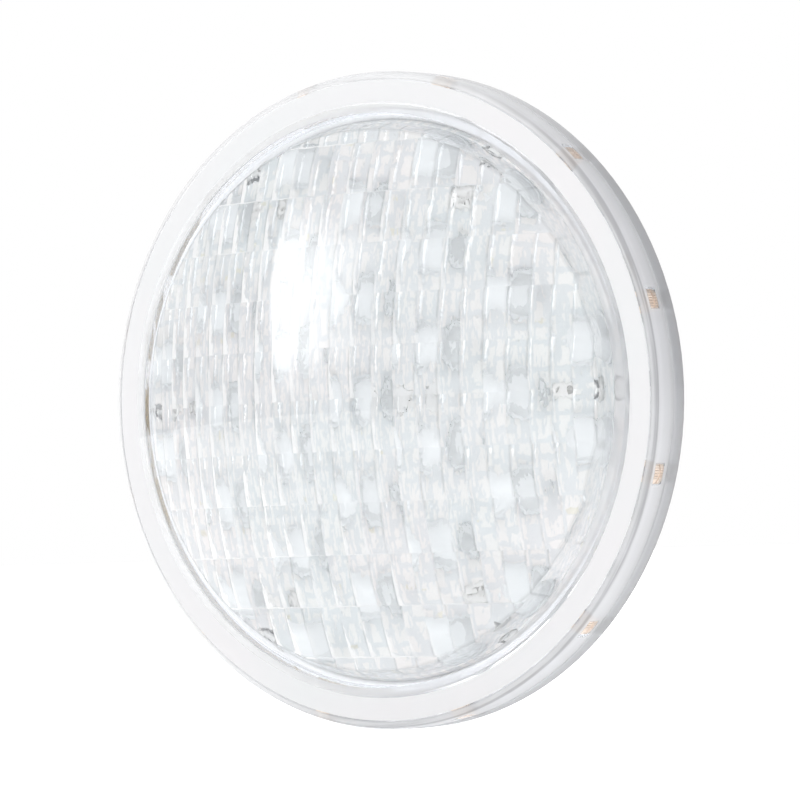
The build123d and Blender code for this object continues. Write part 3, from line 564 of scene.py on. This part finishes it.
def build_materials():
    """One material for every slot of the record."""
    return {
        "clear_lens": clear_plastic("clear_lens", LENS_TINT, 0.0, LENS_BENDS, LENS_BANDS, True),
        "clear_housing": clear_plastic(
            "clear_housing", HOUSING_TINT, 0.14, HOUSING_BENDS, HOUSING_BANDS, False),
        "insert_brass": metal("insert_brass", (0.90, 0.77, 0.66), 0.5, 700),
        "terminal_brass": metal("terminal_brass", (0.80, 0.60, 0.28), 0.26, 500),
        "standoff_brass": metal("standoff_brass", (0.80, 0.60, 0.28), 0.22, 500, (1, 0.1, 1)),
        "tinned_brass": metal("tinned_brass", (0.80, 0.79, 0.76), 0.36, 500),
        "stainless": metal("stainless", (0.72, 0.72, 0.73), 0.24, 600),
        "heat_sink": metal("heat_sink", (0.86, 0.865, 0.87), 0.45, 300, (1, 1, 0.08), metallic=0.4),
        "thermal_pad": moulded("thermal_pad", (0.64, 0.66, 0.69), 0.75, 500),
        "silicone": moulded("silicone", (0.70, 0.70, 0.69), 0.35, 500),
        "black_rubber": moulded("black_rubber", (0.025, 0.025, 0.025), 0.6, 800),
        "white_board": circuit_board("white_board", (0.78, 0.765, 0.75), (0.665, 0.68, 0.69), 90),
        "led_white": moulded("led_white", (0.90, 0.90, 0.88), 0.35, 1200, 0.03),
        "led_phosphor": phosphor("led_phosphor"),
        "green_board": circuit_board("green_board", (0.02, 0.16, 0.06), (0.05, 0.30, 0.12), 160),
        "can_sleeve": sleeve("can_sleeve"),
        "ferrite": moulded("ferrite", (0.06, 0.06, 0.065), 0.55, 900),
        "copper_wire": metal("copper_wire", (0.70, 0.30, 0.12), 0.22, 900),
        "black_epoxy": moulded("black_epoxy", (0.02, 0.02, 0.022), 0.5, 1500),
        "yellow_film_box": moulded("yellow_film_box", (0.78, 0.55, 0.05), 0.3, 900, coat=0.3),
        "terminal_block": moulded("terminal_block", (0.03, 0.22, 0.12), 0.4, 900),
        "white_wire": moulded("white_wire", (0.74, 0.74, 0.72), 0.35, 900),
        "clear_optic": milky_optic("clear_optic", (0.705, 0.725, 0.733), 0.85),
        "white_nylon": moulded("white_nylon", (0.64, 0.64, 0.63), 0.4, 900),
        "grey_wire": moulded("grey_wire", (0.30, 0.31, 0.33), 0.4, 900),
    }


def dress(materials):
    """Gives every CAD node the material of its record slot."""
    for part in frame["record"]["subparts"]:
        mesh = frame["nodes"][part["node"]].data
        mesh.materials.clear()
        mesh.materials.append(materials[part["material_slot"]])


# ---------------------------------------------------------------- lens mesh
def cavity_station(x, z, dome):
    """Station of the cavity's mean surface at x, z, in millimetres."""
    return dome["centre"] - np.sqrt((dome["sphere"] - LENS_WALL) ** 2 - x**2 - z**2)


def column_edge(column):
    """Place across the lens of a column's left edge; the columns are evenly spaced in angle."""
    return COLUMN_FAN * np.sin(column * COLUMN_PITCH / COLUMN_FAN)


def row_station(x, z, row, dome, moulding):
    """Station of one row's fluted surface: round flutes across, leaning and a little pillowed up the row."""
    middle = (row + 0.5 - ROWS / 2) * ROW_PITCH
    inner = dome["sphere"] - LENS_WALL
    slope = ROW_LEAN * middle / math.sqrt(inner**2 - middle**2)
    column = np.floor(np.arcsin(x / COLUMN_FAN) * COLUMN_FAN / COLUMN_PITCH)
    column = np.clip(column, -COLUMNS / 2, COLUMNS / 2 - 1)
    left = column_edge(column)
    right = column_edge(column + 1)
    across = (x - left) / (right - left)
    y_left = cavity_station(left, middle, dome)
    y_right = cavity_station(right, middle, dome)
    chord = y_left + (y_right - y_left) * across
    depth = FLUTE_DEPTH * (right - left) / COLUMN_PITCH
    crown = cavity_station((left + right) / 2, middle, dome) - depth - (y_left + y_right) / 2
    up = (z - middle) / ROW_PITCH + 0.5
    fuller, lean, skew = moulding[row, (column + COLUMNS / 2).astype(int)].T
    hump = 4 * across * (1 - across)
    uneven = hump * (lean * (up - 0.5) - fuller * 2 * up * (1 - up)) + skew / 3 * np.sin(2 * math.pi * across)
    bulge = -ROW_BULGE * 4 * up * (1 - up)
    return chord + crown * hump + slope * (z - middle) + bulge + CELL_UNEVENNESS * uneven


def row_heights():
    """Heights of the sample lines and the row each belongs to; a row boundary has one line for each side."""
    lines = []
    for row in range(ROWS):
        low = (row - ROWS / 2) * ROW_PITCH
        steps = SAMPLES_PER_ROW if 1 <= row <= ROWS - 2 else 3 * SAMPLES_PER_ROW
        for i in range(steps + 1):
            height = low + ROW_PITCH * i / steps
            lines.append((min(max(height, -CAVITY_RADIUS), CAVITY_RADIUS), row))
    return lines


def fluted_sheet(dome, parting):
    """Lines of points across the fluted inner surface, clipped to the bore. They end at the parting face."""
    across = column_edge(np.linspace(-COLUMNS / 2, COLUMNS / 2, COLUMNS * SAMPLES_PER_COLUMN + 1))
    moulding = np.random.default_rng(CELL_SEED).uniform(-1, 1, (ROWS, COLUMNS, 3))
    points = []
    for height, row in row_heights():
        reach = math.sqrt(max(CAVITY_RADIUS**2 - height**2, 0.0))
        x = np.clip(across, -reach, reach)
        y = row_station(x, height, row, dome, moulding)
        line = [(-reach, parting, height)]
        line += [(float(a), float(b), height) for a, b in zip(x, y)]
        line.append((reach, parting, height))
        points.append(line)
    return points


def dome_profile(dome, face, parting):
    """Outer outline of the lens as (radius, station), from the apex to the bore's mouth."""
    outline = []
    for i in range(DOME_STEPS + 1):
        angle = math.asin(DOME_RADIUS / dome["sphere"]) * i / DOME_STEPS
        outline.append((dome["sphere"] * math.sin(angle), dome["centre"] - dome["sphere"] * math.cos(angle)))
    outline.append((STEP_RADIUS - STEP_FOOT_WIDTH, face - STEP_FOOT_HEIGHT))
    outline.append((STEP_RADIUS, face))
    flat_end = dome["rim"] - RIM_EDGE_ROUND
    for i in range(1, FACE_STEPS + 1):
        outline.append((STEP_RADIUS + (flat_end - STEP_RADIUS) * i / FACE_STEPS, face))
    for i in range(1, ROUND_STEPS + 1):
        turn = math.pi / 2 * i / ROUND_STEPS
        outline.append((flat_end + RIM_EDGE_ROUND * math.sin(turn),
                        face + RIM_EDGE_ROUND - RIM_EDGE_ROUND * math.cos(turn)))
    outline.append((dome["rim"], parting))
    return outline


def turned_surface(outline):
    """Points and faces of an outline turned about the lamp's axis. Its first point is the tip."""
    points = [(0.0, outline[0][1], 0.0)]
    for radius, station in outline[1:]:
        for step in range(TURN_STEPS):
            angle = 2 * math.pi * step / TURN_STEPS
            points.append((radius * math.cos(angle), station, radius * math.sin(angle)))
    faces = []
    for step in range(TURN_STEPS):
        after = (step + 1) % TURN_STEPS
        faces.append((0, 1 + step, 1 + after))
        for ring in range(len(outline) - 2):
            near = 1 + ring * TURN_STEPS
            far = near + TURN_STEPS
            faces.append((near + step, far + step, far + after, near + after))
    return points, faces


def sheet_faces(lines, start):
    """Faces between lines of points that are numbered from start."""
    width = len(lines[0])
    faces = []
    for row in range(len(lines) - 1):
        for i in range(width - 1):
            corner = start + row * width + i
            faces.append((corner, corner + 1, corner + width + 1, corner + width))
    return faces


def build_lens(clear, frosted, fluted):
    """The lens as one fine closed mesh: smooth outside with a frosted flat face, stepped flutes inside."""
    low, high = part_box("front_lens")
    apex = low[1] / MM
    parting = high[1] / MM
    face = parting - RIM_THICKNESS
    rise = face - STEP_HEIGHT - apex
    sphere = (DOME_RADIUS**2 + rise**2) / (2 * rise)
    dome = {"sphere": sphere, "centre": apex + sphere, "rim": high[0] / MM}
    vertices, faces = turned_surface(dome_profile(dome, face, parting))
    first_inside = len(vertices)
    sheet = fluted_sheet(dome, parting)
    for line in sheet:
        vertices += line
    faces += sheet_faces(sheet, first_inside)

    mesh = bpy.data.meshes.new("lens_optic")
    mesh.from_pydata([tuple(c * MM for c in v) for v in vertices], [], faces)
    mesh.update()
    lens = bpy.data.objects.new("lens_optic", mesh)
    bpy.context.scene.collection.objects.link(lens)
    for material in (clear, frosted, fluted):
        mesh.materials.append(material)
    for polygon in mesh.polygons:
        flat = polygon.normal.y < -0.999 and math.hypot(polygon.center.x, polygon.center.z) > STEP_RADIUS * MM
        inside = polygon.vertices[0] >= first_inside
        polygon.material_index = 2 if inside else 1 if flat else 0
    tidy_mesh(lens)
    return lens


def tidy_mesh(obj):
    """Merges coincident points, closes the lens's mouth, turns normals outwards and sharpens real edges."""
    work = bmesh.new()
    work.from_mesh(obj.data)
    bmesh.ops.remove_doubles(work, verts=work.verts, dist=1e-6)
    bmesh.ops.dissolve_degenerate(work, edges=work.edges, dist=1e-7)
    bmesh.ops.bridge_loops(work, edges=[edge for edge in work.edges if edge.is_boundary])
    bmesh.ops.recalc_face_normals(work, faces=work.faces)
    for face in work.faces:
        face.smooth = True
    for edge in work.edges:
        edge.smooth = edge.calc_face_angle(0.0) < math.radians(SHARP_ANGLE)
    work.to_mesh(obj.data)
    work.free()


# ---------------------------------------------------------------- stage
def look_axes():
    """The camera's right, up and back directions, rolled about the lamp's axis as in the photograph."""
    turn, tilt, roll = (math.radians(v) for v in (CAMERA_AZIMUTH, CAMERA_ELEVATION, CAMERA_ROLL))
    back = Vector((math.sin(turn) * math.cos(tilt), -math.cos(turn) * math.cos(tilt), math.sin(tilt)))
    right = Vector((math.cos(turn), math.sin(turn), 0.0))
    up = back.cross(right)
    spin = Matrix.Rotation(roll, 3, "Y")
    return tuple(spin @ v for v in (right, up, back))


def add_camera():
    """A long lens that looks at the rim's face, a little to the lamp's right."""
    right, up, back = look_axes()
    centre = Vector((0.0, FACE_Y, 0.0))
    place = centre + back * CAMERA_DISTANCE
    aim = centre + right * AIM_RIGHT
    behind = (place - aim).normalized()
    side = up.cross(behind).normalized()
    above = behind.cross(side)
    data = bpy.data.cameras.new("camera")
    data.lens = CAMERA_LENS
    data.sensor_width = 36.0
    data.clip_start = 0.01
    camera = bpy.data.objects.new("camera", data)
    camera.matrix_world = Matrix((
        (side.x, above.x, behind.x, place.x),
        (side.y, above.y, behind.y, place.y),
        (side.z, above.z, behind.z, place.z),
        (0, 0, 0, 1)))
    bpy.context.scene.collection.objects.link(camera)
    bpy.context.scene.camera = camera


def add_panel(name, direction, distance_out, width, height, strength):
    """A soft rectangular light that faces the lamp from a direction."""
    data = bpy.data.lights.new(name, "AREA")
    data.shape = "RECTANGLE"
    data.size = width
    data.size_y = height
    data.energy = strength * width * height * math.pi
    panel = bpy.data.objects.new(name, data)
    toward = Vector(direction).normalized()
    facing = toward.to_track_quat("Z", "Y").to_matrix().to_4x4()
    panel.matrix_world = Matrix.Translation(toward * distance_out) @ facing
    bpy.context.scene.collection.objects.link(panel)


def dot(tree, direction, axis):
    """How far a direction socket points along an axis."""
    made = node(tree, "ShaderNodeVectorMath", operation="DOT_PRODUCT")
    link(tree, direction, made.inputs[0])
    made.inputs[1].default_value = axis
    return made.outputs["Value"]


def add_world():
    """White for the camera. Other rays see white behind the lamp, grey all round it, and the key softbox."""
    world = bpy.data.worlds.new("studio")
    bpy.context.scene.world = world
    world.use_nodes = True
    tree = world.node_tree
    tree.nodes.clear()
    output = tree.nodes.new("ShaderNodeOutputWorld")
    direction = node(tree, "ShaderNodeTexCoord").outputs["Generated"]
    across = dot(tree, direction, (1.0, 0.0, 0.0))
    walls = mix_colour(tree, ramp(tree, across, -WALL_BLEND, WALL_BLEND), LEFT_WALL, RIGHT_WALL)
    back = look_axes()[2]
    behind = ramp(tree, math_node(tree, "ABSOLUTE", dot(tree, direction, -back)), DARK_BELOW, WHITE_ABOVE)
    seen = mix_colour(tree, behind, DARK_SIDES, (1.0, 1.0, 1.0))
    seen = mix_colour(tree, 1.0, seen, softbox(tree, direction), "ADD")
    path = node(tree, "ShaderNodeLightPath")
    seen = mix_colour(tree, path.outputs["Is Diffuse Ray"], seen, walls)
    colour = mix_colour(tree, path.outputs["Is Camera Ray"], seen, (1.0, 1.0, 1.0))
    light = node(tree, "ShaderNodeBackground")
    link(tree, colour, light.inputs["Color"])
    link(tree, light.outputs[0], output.inputs["Surface"])


def softbox(tree, direction):
    """The key light's radiance: soft on three sides, with a crisp leaning edge on its right."""
    toward = Vector(SOFTBOX_DIRECTION).normalized()
    right = toward.cross(Vector((0, 0, 1))).normalized()
    up = right.cross(toward)
    ahead = math_node(tree, "MAXIMUM", dot(tree, direction, toward), 0.05)
    across = math_node(tree, "DIVIDE", dot(tree, direction, right), ahead)
    high = math_node(tree, "DIVIDE", dot(tree, direction, up), ahead)
    leaning = math_node(tree, "SUBTRACT", across, math_node(tree, "MULTIPLY", high, SOFTBOX_LEAN))
    left_side = ramp(tree, across, -SOFTBOX_REACH - 0.2, -SOFTBOX_REACH + 0.1)
    right_side = ramp(tree, leaning, SOFTBOX_REACH - 0.01, SOFTBOX_REACH + 0.01, 1.0, 0.0)
    ends = ramp(tree, math_node(tree, "ABSOLUTE", high), SOFTBOX_RISE - 0.08, SOFTBOX_RISE + 0.08, 1.0, 0.0)
    patch = math_node(tree, "MULTIPLY", math_node(tree, "MULTIPLY", left_side, right_side), ends)
    return math_node(tree, "MULTIPLY", patch, SOFTBOX_RADIANCE)


def add_floor():
    """A wide pale floor under the lamp, which isn't part of the object."""
    low = cad_box[0][2]
    square = ((-1, -1), (1, -1), (1, 1), (-1, 1))
    corners = [(side * FLOOR_REACH, depth * FLOOR_REACH, low) for side, depth in square]
    mesh = bpy.data.meshes.new("floor")
    mesh.from_pydata(corners, [], [(0, 1, 2, 3)])
    floor = bpy.data.objects.new("floor", mesh)
    bpy.context.scene.collection.objects.link(floor)
    material, tree, output = new_material("floor")
    base = mix_colour(tree, noise(tree, 3, 2), (0.93, 0.93, 0.93), (0.95, 0.95, 0.95))
    principled(tree, output, Base_Color=base, Roughness=0.8,
               Emission_Color=(1.0, 1.0, 1.0), Emission_Strength=0.3)
    mesh.materials.append(material)


def set_light_paths():
    """Enough bounces for light to cross the lens, the LED caps and the housing."""
    cycles = bpy.context.scene.cycles
    cycles.max_bounces = 24
    cycles.transmission_bounces = 24
    cycles.glossy_bounces = 8
    cycles.diffuse_bounces = 4
    cycles.transparent_max_bounces = 24


def main():
    bpy.context.scene.view_settings.view_transform = "Standard"
    set_light_paths()
    materials = build_materials()
    dress(materials)
    rim_face = frosted_plastic("rim_face", (0.665, 0.665, 0.668))
    flutes = fluted_plastic("lens_flutes", LENS_TINT)
    lens = build_lens(materials["clear_lens"], rim_face, flutes)
    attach(lens, "lamp")
    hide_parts("front_lens")
    add_floor()
    add_world()
    add_camera()
    add_panel("fill", (-0.3, -0.9, 0.7), 1.6, 0.9, 0.9, 0.2)


main()
